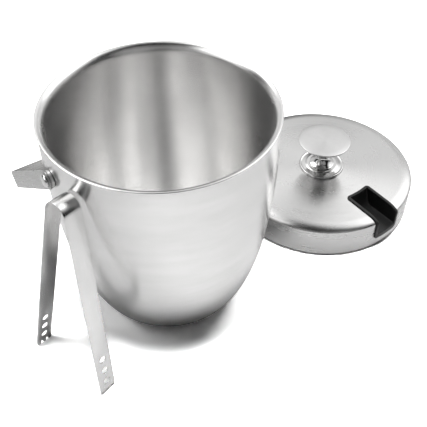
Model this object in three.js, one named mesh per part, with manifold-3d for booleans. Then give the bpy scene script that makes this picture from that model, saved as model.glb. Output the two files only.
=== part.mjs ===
// Stainless steel ice bucket with a double wall, a squared strap bail, a loose lid with a black
// tong-slot insert and a mushroom knob, and a pair of spring tongs that leans on the bucket.
// Millimetres, +Z up. The origin is the centre of the bucket's base, on the surface it stands on.
import * as THREE from 'three';
import { mergeVertices } from 'three/addons/utils/BufferGeometryUtils.js';
import Module from 'manifold-3d';

const wasm = await Module();
wasm.setup();

// ---- Driving dimensions -------------------------------------------------------------------
const GAP = 0.3; // clearance between pieces that touch
const SHEET = 0.9; // thickness of the pressed steel
const ROUND_STEPS = 40; // facets round the large turned pieces
const SMALL_STEPS = 24; // facets round the small turned pieces

// Bucket
const RIM_RADIUS = 95; // outside of the rolled rim
const RIM_HEIGHT = 201.5; // top of the rolled rim above the table
const WALL_RADIUS = 94.2; // outside of the outer shell near the top
const SHELL_CURVE = 174; // height over which the shell curves in towards its foot
const FOOT_RADIUS = 51; // where the curved wall meets the flat foot
const FOOT_OPENING = 46; // opening in the shell's foot, closed by the base cap
const CAP_LAP = 3; // how far the base cap laps over the foot, inside
const BEAD_HEIGHT = 2; // height of the rolled rim bead
const BEVEL_INNER = 89.4; // inner edge of the sloping rim flange
const BEVEL_DROP = 3.2; // how far the flange slopes down to that edge
const LINER_WALL = 88; // inside radius of the liner below the flange
const LINER_FOOT = 44; // where the liner's curve meets its flat floor
const LINER_FLOOR = 9; // height of the liner's floor
const LINER_CURVE = 160; // height over which the liner curves in
const BOWL_STEPS = 7; // facets up the curved walls

// Bail and its pivots
const PIVOT_AZIMUTH = 34; // degrees, direction of the right-hand pivot
const PIVOT_HEIGHT = 176.8;
const ARM_INNER = 96.8; // inner face of each bail arm, from the bucket's axis
const STRAP_WIDTH = 15.4;
const STRAP_THICKNESS = 1.6;
const BAIL_REACH = 119; // pivot axis to the inner face of the crossbar
const BAIL_DROP = 37; // degrees below level at which the bail rests on the wall
const FOLD_RADIUS = 2.4; // outside radius of the strap's two folds
const SHANK_RADIUS = 2.4;
const HOLE_RADIUS = 2.8;

// Lid
const LID_X = 153.9;
const LID_Y = 120.7;
const LID_RADIUS = 93.6;
const LID_FOOT_RADIUS = 91.5; // bottom edge of the skirt
const SKIRT_ROUND = 4.5; // height over which the bottom edge rounds in
const SKIRT_HEIGHT = 31.4; // straight side of the lid
const SHOULDER_WIDTH = 12.4;
const SHOULDER_HEIGHT = 4.7;
const CROWN_RISE = 1.4; // rise from the shoulder to the knob
const CROWN_HEIGHT = SKIRT_HEIGHT + SHOULDER_HEIGHT + CROWN_RISE;

// Tong slot in the lid
const SLOT_AZIMUTH = -52; // degrees, direction in which the slot opens
const SLOT_HALF_WIDTH = 11.8; // inside
const SLOT_WALL = 1.8;
const SLOT_LIP = 3.2; // how far the lip reaches past the slot's inside
const SLOT_BACK = 54; // inner end of the slot at the top, from the lid's axis
const SLOT_BACK_LOW = 60.5; // inner end of the slot at its floor
const SLOT_FLOOR = 19;
const LIP_PROUD = 1.5; // the lip's outer face above the lid's surface
const LIP_BOTTOM = 12.5; // the lip's lower edge on the skirt

// Knob
const KNOB_TOP = 71.2;
const KNOB_RADIUS = 26.2;
const KNOB_BASE_RADIUS = 23;
const NECK_RADIUS = 5.2;
const SCREW_RADIUS = 2.2;

// Tongs
const TONGS_AZIMUTH = 231.5; // degrees, where they stand, seen from the bucket's axis
const TONGS_DISTANCE = 125.9; // from the bucket's axis to the line between the tips
const TONGS_LEAN = 6.9; // degrees towards the bucket
const TONGS_WIDTH = 16.2;
const TONGS_THICKNESS = 1.2;
const BOW_RADIUS = 10; // middle of the strip round the bow
const ARM_LENGTH = 177; // bow to the tip of the teeth, along the arm
const ARM_SPLAY = 9.8; // degrees outwards from the middle line
const CURL_RADIUS = 9;
const CURL_ANGLE = 34; // degrees the tip curls inwards
const ARM_HOLES = [11, 23, 35]; // from the tip, along the arm
const ARM_HOLE_RADIUS = 3.1;
const NOTCH_DEPTH = 3;
const TIP_RISE = 0.6; // keeps the curled tips' lowest corners on the table

const radians = THREE.MathUtils.degToRad;

// ---- Materials ----------------------------------------------------------------------------
function steel(colour, roughness) {
  return new THREE.MeshStandardMaterial({ color: colour, roughness, metalness: 1 });
}
const brushedSteel = steel(0xb9b9b8, 0.34);
const satinSteel = steel(0xc9c9c8, 0.45);
const polishedSteel = steel(0xcfcfce, 0.12);
const plainSteel = steel(0xa8a8a8, 0.4);
const blackPlastic = new THREE.MeshStandardMaterial({ color: 0x0d0d0e, roughness: 0.42, metalness: 0 });

// ---- Shape helpers ------------------------------------------------------------------------

// A solid of revolution about +Z from [radius, height] points, anticlockwise round the section.
function turned(profile, steps = ROUND_STEPS) {
  const points = profile.map(([radius, height]) => new THREE.Vector2(radius, height));
  const geometry = new THREE.LatheGeometry(points, steps);
  geometry.rotateX(Math.PI / 2);
  return geometry;
}

// A section that closes on itself.
function ring(profile, steps) {
  return turned([...profile, profile[0]], steps);
}

// A quarter-ellipse bowl wall from its foot up to its straight side, pushed out by offset.
function bowlWall(foot, wall, floor, curve, offset) {
  const points = [];
  const reach = wall - foot;
  for (let i = 0; i <= BOWL_STEPS; i += 1) {
    const angle = (Math.PI / 2) * (1 - i / BOWL_STEPS);
    const normal = new THREE.Vector2(Math.cos(angle) / reach, -Math.sin(angle) / curve).normalize();
    const radius = foot + reach * Math.cos(angle) + offset * normal.x;
    const height = floor + curve * (1 - Math.sin(angle)) + offset * normal.y;
    points.push([radius, height]);
  }
  return points;
}

function toSolid(geometry) {
  const bare = geometry.clone();
  bare.deleteAttribute('normal');
  bare.deleteAttribute('uv');
  const merged = mergeVertices(bare, 1e-4);
  const index = merged.getIndex().array;
  const triangles = [];
  for (let i = 0; i < index.length; i += 3) {
    const [a, b, c] = [index[i], index[i + 1], index[i + 2]];
    if (a !== b && b !== c && a !== c) {
      triangles.push(a, b, c);
    }
  }
  return new wasm.Manifold(new wasm.Mesh({
    numProp: 3,
    vertProperties: new Float32Array(merged.getAttribute('position').array),
    triVerts: new Uint32Array(triangles),
  }));
}

function toGeometry(solid) {
  const mesh = solid.getMesh();
  const geometry = new THREE.BufferGeometry();
  geometry.setAttribute('position', new THREE.BufferAttribute(mesh.vertProperties, 3));
  geometry.setIndex(new THREE.BufferAttribute(mesh.triVerts, 1));
  return geometry;
}

function cut(geometry, ...tools) {
  let solid = toSolid(geometry);
  for (const tool of tools) {
    solid = solid.subtract(toSolid(tool));
  }
  return toGeometry(solid);
}

// A box between two corners.
function block(low, high) {
  const size = high.map((value, axis) => value - low[axis]);
  const geometry = new THREE.BoxGeometry(...size);
  geometry.translate(...low.map((value, axis) => value + size[axis] / 2));
  return geometry;
}

// A round pin along X between two distances.
function pinAlongX(radius, from, to, steps = SMALL_STEPS) {
  const geometry = new THREE.CylinderGeometry(radius, radius, to - from, steps);
  geometry.rotateZ(-Math.PI / 2);
  geometry.translate((from + to) / 2, 0, 0);
  return geometry;
}

// An outline in X and Z, extruded by width along Y, centred.
function plate(shape, width, curveSegments = 6) {
  const geometry = new THREE.ExtrudeGeometry(shape, { depth: width, bevelEnabled: false, curveSegments });
  geometry.translate(0, 0, -width / 2);
  geometry.rotateX(Math.PI / 2);
  return geometry;
}

function addMesh(parent, name, geometry, material) {
  const mesh = new THREE.Mesh(geometry, material);
  mesh.name = name;
  parent.add(mesh);
  return mesh;
}

// ---- Bucket -------------------------------------------------------------------------------
const BEAD_BOTTOM = RIM_HEIGHT - BEAD_HEIGHT;
const SHELL_TOP = BEAD_BOTTOM - GAP;

function linerGeometry() {
  const outside = bowlWall(LINER_FOOT, LINER_WALL, LINER_FLOOR, LINER_CURVE, SHEET);
  const inside = bowlWall(LINER_FOOT, LINER_WALL, LINER_FLOOR, LINER_CURVE, 0).reverse();
  const bevelInnerZ = RIM_HEIGHT - BEVEL_DROP;
  return turned([
    [0, LINER_FLOOR - SHEET],
    ...outside,
    [LINER_WALL + SHEET, bevelInnerZ - 4],
    [BEVEL_INNER + 0.8, bevelInnerZ - 0.9],
    [WALL_RADIUS - SHEET - 0.1, BEAD_BOTTOM],
    [RIM_RADIUS - 0.4, BEAD_BOTTOM],
    [RIM_RADIUS, BEAD_BOTTOM + 0.4],
    [RIM_RADIUS, RIM_HEIGHT - 0.8],
    [RIM_RADIUS - 0.4, RIM_HEIGHT - 0.2],
    [RIM_RADIUS - 0.9, RIM_HEIGHT],
    [RIM_RADIUS - 1.5, RIM_HEIGHT - 0.3],
    [BEVEL_INNER, bevelInnerZ],
    [LINER_WALL + 0.4, bevelInnerZ - 1.4],
    [LINER_WALL, bevelInnerZ - 4],
    ...inside,
    [0, LINER_FLOOR],
  ]);
}

// Cutters for both rivet holes, along the pivot axis.
function rivetHoles() {
  const holes = [0, Math.PI].map((turn) => {
    const hole = pinAlongX(HOLE_RADIUS, WALL_RADIUS - 10, WALL_RADIUS + 10, 12);
    hole.translate(0, 0, PIVOT_HEIGHT);
    hole.rotateZ(radians(PIVOT_AZIMUTH) + turn);
    return hole;
  });
  return holes;
}

function outerShellGeometry() {
  const outside = bowlWall(FOOT_RADIUS, WALL_RADIUS, 0, SHELL_CURVE, 0);
  const inside = bowlWall(FOOT_RADIUS, WALL_RADIUS, 0, SHELL_CURVE, -SHEET).reverse();
  const shell = ring([
    [FOOT_OPENING, 0],
    ...outside,
    [WALL_RADIUS, SHELL_TOP],
    [WALL_RADIUS - SHEET, SHELL_TOP],
    ...inside,
    [FOOT_OPENING, SHEET],
  ]);
  return cut(shell, ...rivetHoles());
}

function baseCapGeometry() {
  const lapBottom = SHEET + GAP;
  return turned([
    [0, 0],
    [FOOT_OPENING - GAP, 0],
    [FOOT_OPENING - GAP, lapBottom],
    [FOOT_OPENING + CAP_LAP, lapBottom],
    [FOOT_OPENING + CAP_LAP, lapBottom + SHEET],
    [FOOT_OPENING - GAP - SHEET, lapBottom + SHEET],
    [FOOT_OPENING - GAP - SHEET, SHEET],
    [0, SHEET],
  ]);
}

// ---- Pivots: each is built along +X and turned to its side ---------------------------------
const ARM_OUTER = ARM_INNER + STRAP_THICKNESS;
const RIVET_TAIL = 89.7; // inner end of the formed tail, inside the double wall
const HEAD_RADIUS = 5.4;
const HEAD_HEIGHT = 2.5;

function alongX(geometry) {
  geometry.rotateY(Math.PI / 2);
  return geometry;
}

function rivetGeometry() {
  const tailEnd = RIVET_TAIL + SHEET;
  const headBase = ARM_OUTER + GAP;
  return alongX(turned([
    [0, RIVET_TAIL],
    [3.6, RIVET_TAIL],
    [3.6, tailEnd],
    [SHANK_RADIUS, tailEnd],
    [SHANK_RADIUS, headBase],
    [HEAD_RADIUS, headBase],
    [HEAD_RADIUS, headBase + 0.6],
    [HEAD_RADIUS * 0.84, headBase + HEAD_HEIGHT * 0.68],
    [HEAD_RADIUS * 0.5, headBase + HEAD_HEIGHT * 0.93],
    [0, headBase + HEAD_HEIGHT],
  ], 20));
}

function flatWasher(inner, outer, from, to, steps = SMALL_STEPS) {
  return ring([
    [inner, from],
    [outer, from],
    [outer, to],
    [inner, to],
  ], steps);
}

function addPivot(parent, side, turn) {
  const pivot = new THREE.Group();
  pivot.position.z = PIVOT_HEIGHT;
  pivot.rotation.z = radians(PIVOT_AZIMUTH) + turn;
  addMesh(pivot, `pivot_rivet_${side}`, rivetGeometry(), polishedSteel);
  const spacer = alongX(flatWasher(HOLE_RADIUS, 7, WALL_RADIUS + GAP, ARM_INNER - GAP));
  addMesh(pivot, `pivot_spacer_${side}`, spacer, plainSteel);
  const plateFrom = RIVET_TAIL + SHEET + GAP;
  const backing = alongX(flatWasher(HOLE_RADIUS, 7, plateFrom, plateFrom + 1));
  addMesh(pivot, `pivot_backing_${side}`, backing, plainSteel);
  parent.add(pivot);
}

// ---- Bail: one flat strap with two square folds --------------------------------------------
// Built with X along the pivot axis, Y along the arms and Z across the strap.
function bailGeometry() {
  const halfWidth = STRAP_WIDTH / 2;
  const far = BAIL_REACH + STRAP_THICKNESS;
  const foldInner = FOLD_RADIUS - STRAP_THICKNESS;
  const outline = new THREE.Shape();
  outline.moveTo(ARM_OUTER, -halfWidth);
  outline.lineTo(ARM_OUTER, far - FOLD_RADIUS);
  outline.absarc(ARM_OUTER - FOLD_RADIUS, far - FOLD_RADIUS, FOLD_RADIUS, 0, Math.PI / 2, false);
  outline.lineTo(-ARM_OUTER + FOLD_RADIUS, far);
  outline.absarc(-ARM_OUTER + FOLD_RADIUS, far - FOLD_RADIUS, FOLD_RADIUS, Math.PI / 2, Math.PI, false);
  outline.lineTo(-ARM_OUTER, -halfWidth);
  outline.lineTo(-ARM_INNER, -halfWidth);
  outline.lineTo(-ARM_INNER, BAIL_REACH - foldInner);
  outline.absarc(-ARM_INNER + foldInner, BAIL_REACH - foldInner, foldInner, Math.PI, Math.PI / 2, true);
  outline.lineTo(ARM_INNER - foldInner, BAIL_REACH);
  outline.absarc(ARM_INNER - foldInner, BAIL_REACH - foldInner, foldInner, Math.PI / 2, 0, true);
  outline.lineTo(ARM_INNER, -halfWidth);
  outline.closePath();
  const strap = new THREE.ExtrudeGeometry(outline, {
    depth: STRAP_WIDTH,
    bevelEnabled: false,
    curveSegments: 4,
  });
  strap.translate(0, 0, -halfWidth);

  const side = new THREE.Shape();
  side.absarc(0, 0, halfWidth, -Math.PI / 2, Math.PI / 2, true);
  side.lineTo(far + 1, halfWidth);
  side.lineTo(far + 1, -halfWidth);
  side.closePath();
  const envelope = new THREE.ExtrudeGeometry(side, {
    depth: 2 * ARM_OUTER + 2,
    bevelEnabled: false,
    curveSegments: 10,
  });
  envelope.translate(0, 0, -ARM_OUTER - 1);
  envelope.applyMatrix4(new THREE.Matrix4().makeBasis(
    new THREE.Vector3(0, 1, 0),
    new THREE.Vector3(0, 0, 1),
    new THREE.Vector3(1, 0, 0),
  ));

  const hole = pinAlongX(HOLE_RADIUS, -ARM_OUTER - 5, ARM_OUTER + 5, 16);
  return toGeometry(toSolid(strap).intersect(toSolid(envelope)).subtract(toSolid(hole)));
}

function addBail(parent) {
  const axis = new THREE.Group();
  axis.position.z = PIVOT_HEIGHT;
  axis.rotation.z = radians(PIVOT_AZIMUTH);
  const swing = new THREE.Group();
  swing.rotation.x = -radians(BAIL_DROP);
  addMesh(swing, 'bail_strap', bailGeometry(), brushedSteel);
  axis.add(swing);
  parent.add(axis);
}

// ---- Lid ----------------------------------------------------------------------------------

// The lid's outside from its bottom edge to the middle of the crown, pushed out by offset.
function lidOutside(offset) {
  const shoulderRadius = LID_RADIUS - SHOULDER_WIDTH;
  const points = [
    [LID_FOOT_RADIUS + offset, 0],
    [LID_RADIUS - 0.5 + offset, SKIRT_ROUND * 0.45],
    [LID_RADIUS + offset, SKIRT_ROUND],
  ];
  const steps = 5;
  for (let i = 0; i <= steps; i += 1) {
    const angle = (Math.PI / 2) * (i / steps);
    const radius = shoulderRadius + (SHOULDER_WIDTH + offset) * Math.cos(angle);
    points.push([radius, SKIRT_HEIGHT + (SHOULDER_HEIGHT + offset) * Math.sin(angle)]);
  }
  points.push([KNOB_BASE_RADIUS, CROWN_HEIGHT + offset]);
  return points;
}

// The slot's frame: X outwards from the lid's axis, Y across the slot, Z up.
function inSlotFrame(geometry) {
  geometry.rotateZ(radians(SLOT_AZIMUTH));
  return geometry;
}

const SLOT_OUTER = SLOT_HALF_WIDTH + SLOT_WALL;
const SLOT_END = LID_RADIUS + 20;

function lidShellGeometry() {
  const inside = lidOutside(-SHEET).reverse();
  const screwHole = SCREW_RADIUS + 0.6;
  const shell = ring([
    ...lidOutside(0),
    [screwHole, CROWN_HEIGHT],
    [screwHole, CROWN_HEIGHT - SHEET],
    ...inside,
  ]);
  const opening = inSlotFrame(block(
    [SLOT_BACK - SLOT_WALL - GAP, -SLOT_OUTER - GAP, SLOT_FLOOR - SLOT_WALL - GAP],
    [SLOT_END, SLOT_OUTER + GAP, CROWN_HEIGHT + 10],
  ));
  return cut(shell, opening);
}

function lidUnderpanGeometry() {
  const edge = LID_FOOT_RADIUS - SHEET - GAP;
  return turned([
    [0, 3],
    [edge - 12, 3],
    [edge - 9, 0.6],
    [edge - 0.6, 0.6],
    [edge, 1.2],
    [edge, 2.2],
    [edge - 8, 2],
    [edge - 11.6, 4.2],
    [0, 4.2],
  ]);
}

// A black moulded pocket, open on top and at the lid's side, with a lip that follows the lid.
function slotInsertGeometry() {
  const closed = (offset) => [[0, 0], ...lidOutside(offset), [0, CROWN_HEIGHT + offset]];
  const proud = toSolid(turned(closed(LIP_PROUD)));
  const surface = toSolid(turned(closed(GAP)));
  const lipHalf = SLOT_HALF_WIDTH + SLOT_LIP;
  const top = CROWN_HEIGHT + 10;
  const body = toSolid(inSlotFrame(block(
    [SLOT_BACK - SLOT_WALL, -SLOT_OUTER, SLOT_FLOOR - SLOT_WALL],
    [SLOT_END, SLOT_OUTER, top],
  )));
  const lip = toSolid(inSlotFrame(block(
    [SLOT_BACK - SLOT_LIP, -lipHalf, LIP_BOTTOM],
    [SLOT_END, lipHalf, top],
  )));
  const hollow = new THREE.Shape();
  hollow.moveTo(SLOT_BACK, top + 1);
  hollow.lineTo(SLOT_BACK, CROWN_HEIGHT - 2);
  hollow.quadraticCurveTo(SLOT_BACK + 2, SLOT_FLOOR + 3, SLOT_BACK_LOW, SLOT_FLOOR);
  hollow.lineTo(SLOT_END + 1, SLOT_FLOOR);
  hollow.lineTo(SLOT_END + 1, top + 1);
  hollow.closePath();
  const cavity = toSolid(inSlotFrame(plate(hollow, 2 * SLOT_HALF_WIDTH, 5)));
  const shell = body.intersect(proud).add(lip.intersect(proud).subtract(surface));
  return toGeometry(shell.subtract(cavity));
}

function escutcheonGeometry() {
  const base = CROWN_HEIGHT + GAP;
  return ring([
    [SCREW_RADIUS + 0.6, base],
    [KNOB_BASE_RADIUS - 0.6, base],
    [KNOB_BASE_RADIUS, base + 0.6],
    [KNOB_BASE_RADIUS - 0.5, base + 1.7],
    [KNOB_BASE_RADIUS - 2, base + 2.2],
    [14, base + 3],
    [SCREW_RADIUS + 0.6, base + 3],
  ], 32);
}

const STEM_BOTTOM = CROWN_HEIGHT + 3 + 2 * GAP;
const CAP_THICKNESS = 3.2;
const STEM_TOP = KNOB_TOP - CAP_THICKNESS - GAP;
const STUD_RADIUS = 3; // the cap's stud, pressed into the stem
const STUD_LENGTH = 6;

function knobStemGeometry() {
  const height = STEM_TOP - STEM_BOTTOM;
  const flare = [
    [12.5, 0],
    [12.5, 0.05],
    [8.6, 0.14],
    [6.2, 0.27],
    [NECK_RADIUS, 0.42],
    [NECK_RADIUS + 0.5, 0.58],
    [7.2, 0.74],
    [10, 0.88],
    [15, 1],
  ].map(([radius, part]) => [radius, STEM_BOTTOM + height * part]);
  const threadTop = STEM_BOTTOM + 12;
  const body = turned([[0, STEM_BOTTOM], ...flare, [0, STEM_TOP]], 32);
  const thread = ring([
    [0, STEM_BOTTOM - 1],
    [SCREW_RADIUS + GAP, STEM_BOTTOM - 1],
    [SCREW_RADIUS + GAP, threadTop],
    [0, threadTop],
  ], 16);
  const socket = ring([
    [0, STEM_TOP - STUD_LENGTH - GAP],
    [STUD_RADIUS + GAP, STEM_TOP - STUD_LENGTH - GAP],
    [STUD_RADIUS + GAP, STEM_TOP + 1],
    [0, STEM_TOP + 1],
  ], 16);
  return cut(body, thread, socket);
}

function knobCapGeometry() {
  const base = STEM_TOP + GAP;
  return turned([
    [0, STEM_TOP - STUD_LENGTH],
    [STUD_RADIUS, STEM_TOP - STUD_LENGTH],
    [STUD_RADIUS, base],
    [KNOB_RADIUS - 4, base],
    [KNOB_RADIUS - 0.6, base + 1.2],
    [KNOB_RADIUS, base + 1.9],
    [KNOB_RADIUS - 0.4, base + 2.5],
    [KNOB_RADIUS - 3, base + 2.9],
    [0, KNOB_TOP],
  ], 32);
}

const WASHER_TOP = CROWN_HEIGHT - SHEET - GAP;
const WASHER_THICKNESS = 1;

function knobScrewGeometry() {
  const headTop = WASHER_TOP - WASHER_THICKNESS - GAP;
  return turned([
    [0, headTop - 3],
    [3.4, headTop - 3],
    [4.2, headTop - 2],
    [4.2, headTop],
    [SCREW_RADIUS, headTop],
    [SCREW_RADIUS, STEM_BOTTOM + 11],
    [0, STEM_BOTTOM + 11],
  ], 16);
}

function addLid(parent) {
  const lid = new THREE.Group();
  lid.position.set(LID_X, LID_Y, 0);
  addMesh(lid, 'lid_shell', lidShellGeometry(), satinSteel);
  addMesh(lid, 'lid_underpan', lidUnderpanGeometry(), plainSteel);
  addMesh(lid, 'tong_slot_insert', slotInsertGeometry(), blackPlastic);
  addMesh(lid, 'knob_escutcheon', escutcheonGeometry(), polishedSteel);
  addMesh(lid, 'knob_stem', knobStemGeometry(), polishedSteel);
  addMesh(lid, 'knob_cap', knobCapGeometry(), satinSteel);
  addMesh(lid, 'knob_screw', knobScrewGeometry(), plainSteel);
  const washer = flatWasher(SCREW_RADIUS + 0.6, 8, WASHER_TOP - WASHER_THICKNESS, WASHER_TOP);
  addMesh(lid, 'knob_screw_washer', washer, plainSteel);
  parent.add(lid);
}

// ---- Tongs: a bent strip, with the bow and the two arms as the parts that flex --------------
const splay = radians(ARM_SPLAY);
const HINGE_X = BOW_RADIUS * Math.cos(splay);
const HINGE_Z = ARM_LENGTH * Math.cos(splay);
const BOW_CENTRE_Z = HINGE_Z - BOW_RADIUS * Math.sin(splay);

function bowGeometry() {
  const half = TONGS_THICKNESS / 2;
  const margin = GAP / 2 / BOW_RADIUS;
  const from = splay + margin;
  const to = Math.PI - splay - margin;
  const arc = new THREE.Shape();
  arc.absarc(0, 0, BOW_RADIUS + half, from, to, false);
  arc.absarc(0, 0, BOW_RADIUS - half, to, from, true);
  arc.closePath();
  return plate(arc, TONGS_WIDTH, 14);
}

// The right arm hangs down from its hinge at the origin and curls towards -X at its tip.
function armGeometry() {
  const half = TONGS_THICKNESS / 2;
  const curl = radians(CURL_ANGLE);
  const straight = ARM_LENGTH - CURL_RADIUS * Math.sin(curl);
  const side = new THREE.Shape();
  side.moveTo(half, -GAP / 2);
  side.lineTo(-half, -GAP / 2);
  side.lineTo(-half, -straight);
  side.absarc(-CURL_RADIUS, -straight, CURL_RADIUS - half, 0, -curl, true);
  side.absarc(-CURL_RADIUS, -straight, CURL_RADIUS + half, -curl, 0, false);
  side.closePath();

  const tools = ARM_HOLES.map((fromTip) => {
    const hole = pinAlongX(ARM_HOLE_RADIUS, -10, 10, 14);
    hole.translate(0, 0, -ARM_LENGTH + fromTip);
    return hole;
  });
  const toothPitch = TONGS_WIDTH / 3;
  for (const middle of [-toothPitch / 2, toothPitch / 2]) {
    const notch = new THREE.Shape();
    notch.moveTo(-ARM_LENGTH - 3, middle - 2.6);
    notch.lineTo(-ARM_LENGTH + NOTCH_DEPTH, middle);
    notch.lineTo(-ARM_LENGTH - 3, middle + 2.6);
    notch.closePath();
    const prism = new THREE.ExtrudeGeometry(notch, { depth: 20, bevelEnabled: false });
    prism.translate(0, 0, -15);
    prism.applyMatrix4(new THREE.Matrix4().makeBasis(
      new THREE.Vector3(0, 0, 1),
      new THREE.Vector3(0, 1, 0),
      new THREE.Vector3(-1, 0, 0),
    ));
    tools.push(prism);
  }
  return cut(plate(side, TONGS_WIDTH, 4), ...tools);
}

function addTongs(parent) {
  const azimuth = radians(TONGS_AZIMUTH);
  const lean = radians(TONGS_LEAN);
  const stand = new THREE.Group();
  const lift = (TONGS_WIDTH / 2) * Math.sin(lean) + TIP_RISE;
  stand.position.set(TONGS_DISTANCE * Math.cos(azimuth), TONGS_DISTANCE * Math.sin(azimuth), lift);
  stand.rotation.z = azimuth + Math.PI / 2;
  const tongs = new THREE.Group();
  tongs.rotation.x = -lean;
  stand.add(tongs);

  const bow = addMesh(tongs, 'tongs_bow', bowGeometry(), polishedSteel);
  bow.position.z = BOW_CENTRE_Z;
  const right = addMesh(tongs, 'tongs_arm_right', armGeometry(), brushedSteel);
  right.position.set(HINGE_X, 0, HINGE_Z);
  right.rotation.y = -splay;
  const left = addMesh(tongs, 'tongs_arm_left', armGeometry(), brushedSteel);
  left.position.set(-HINGE_X, 0, HINGE_Z);
  left.rotation.set(0, -splay, Math.PI, 'ZYX');
  parent.add(stand);
}

// ---- Assembly -----------------------------------------------------------------------------
const bucket = new THREE.Group();
addMesh(bucket, 'liner', linerGeometry(), brushedSteel);
addMesh(bucket, 'outer_shell', outerShellGeometry(), brushedSteel);
addMesh(bucket, 'base_cap', baseCapGeometry(), plainSteel);
addPivot(bucket, 'right', 0);
addPivot(bucket, 'left', Math.PI);

const group = new THREE.Group();
group.add(bucket);
addBail(group);
addLid(group);
addTongs(group);

export default group;
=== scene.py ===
"""Looks of the stainless steel ice bucket: fine turned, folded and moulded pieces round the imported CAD,
with brushed, satin and polished steel, black moulded plastic, and a white studio.
Lengths of the object are in millimetres up to the point where a mesh is made; Blender's are metres."""
import math

import bmesh
import bpy
from mathutils import Matrix, Vector
from mathutils.geometry import delaunay_2d_cdt


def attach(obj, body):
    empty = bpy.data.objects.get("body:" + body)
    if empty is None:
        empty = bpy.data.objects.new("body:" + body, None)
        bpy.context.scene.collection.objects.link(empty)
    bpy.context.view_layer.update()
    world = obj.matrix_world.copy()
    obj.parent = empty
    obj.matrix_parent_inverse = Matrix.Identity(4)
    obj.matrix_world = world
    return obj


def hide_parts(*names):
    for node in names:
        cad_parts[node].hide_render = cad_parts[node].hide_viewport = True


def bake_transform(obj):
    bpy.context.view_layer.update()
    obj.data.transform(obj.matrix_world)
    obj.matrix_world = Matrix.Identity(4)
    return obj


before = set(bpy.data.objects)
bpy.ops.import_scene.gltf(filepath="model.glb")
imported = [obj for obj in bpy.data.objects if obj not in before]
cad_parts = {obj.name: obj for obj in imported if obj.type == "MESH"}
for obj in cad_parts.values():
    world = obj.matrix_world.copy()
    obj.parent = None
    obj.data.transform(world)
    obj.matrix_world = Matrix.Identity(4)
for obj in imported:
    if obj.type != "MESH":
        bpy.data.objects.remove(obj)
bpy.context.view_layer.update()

MM = 0.001

# ---- Dimensions, as in the CAD ---------------------------------------------------------------
GAP = 0.3  # clearance between pieces
SHEET = 0.9  # thickness of the steel sheet

RIM_RADIUS = 95
RIM_HEIGHT = 201.5
WALL_RADIUS = 94.2
SHELL_CURVE = 174
FOOT_RADIUS = 51
FOOT_OPENING = 46
CAP_LAP = 3
BEAD_HEIGHT = 2
BEVEL_INNER = 89.4
BEVEL_DROP = 3.2
LINER_WALL = 88
LINER_FOOT = 44
LINER_FLOOR = 9
LINER_CURVE = 160

PIVOT_AZIMUTH = math.radians(34)
PIVOT_HEIGHT = 176.8
ARM_INNER = 96.8
STRAP_WIDTH = 15.4
STRAP_THICKNESS = 1.6
BAIL_REACH = 119
BAIL_DROP = math.radians(37)
FOLD_RADIUS = 2.4
SHANK_RADIUS = 2.4
HOLE_RADIUS = 2.8

LID_CENTRE = (153.9, 120.7)
LID_RADIUS = 93.6
LID_FOOT_RADIUS = 91.5
SKIRT_ROUND = 4.5
SKIRT_HEIGHT = 31.4
SHOULDER_WIDTH = 12.4
SHOULDER_HEIGHT = 4.7
CROWN_HEIGHT = 37.5

SLOT_AZIMUTH = math.radians(-52)
SLOT_HALF_WIDTH = 11.8
SLOT_WALL = 1.8
SLOT_LIP = 3.2
SLOT_BACK = 54
SLOT_BACK_LOW = 60.5
SLOT_FLOOR = 19
LIP_PROUD = 1.5
LIP_BOTTOM = 12.5

KNOB_TOP = 71.2
KNOB_RADIUS = 26.2
KNOB_BASE_RADIUS = 23
SCREW_RADIUS = 2.2
SCREW_BORE = SCREW_RADIUS + 0.6
SCREW_DEPTH = 12
PLATE_HEIGHT = 3

TONGS_AZIMUTH = math.radians(231.5)
TONGS_DISTANCE = 125.9
TONGS_LEAN = math.radians(6.9)
TONGS_WIDTH = 16.2
TONGS_THICKNESS = 1.2
BOW_RADIUS = 10
ARM_LENGTH = 177
ARM_SPLAY = math.radians(9.8)
CURL_RADIUS = 9
CURL_ANGLE = math.radians(34)
ARM_HOLES = (11, 23, 35)
ARM_HOLE_RADIUS = 3.1
NOTCH_DEPTH = 3
TIP_RISE = 0.6

# ---- Camera ----------------------------------------------------------------------------------
CAMERA_PLACE = (0.04126, -0.44035, 0.5313)  # metres
CAMERA_TILT = math.radians(44.73)  # up from straight down
CAMERA_LENS = 60.16  # millimetres, as the sensor's width
CAMERA_SENSOR = 36

camera_data = bpy.data.cameras.new("camera")
camera_data.lens = CAMERA_LENS
camera_data.sensor_width = CAMERA_SENSOR
camera = bpy.data.objects.new("camera", camera_data)
camera.location = CAMERA_PLACE
camera.rotation_euler = (CAMERA_TILT, 0, 0)
bpy.context.scene.collection.objects.link(camera)
bpy.context.scene.camera = camera


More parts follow.
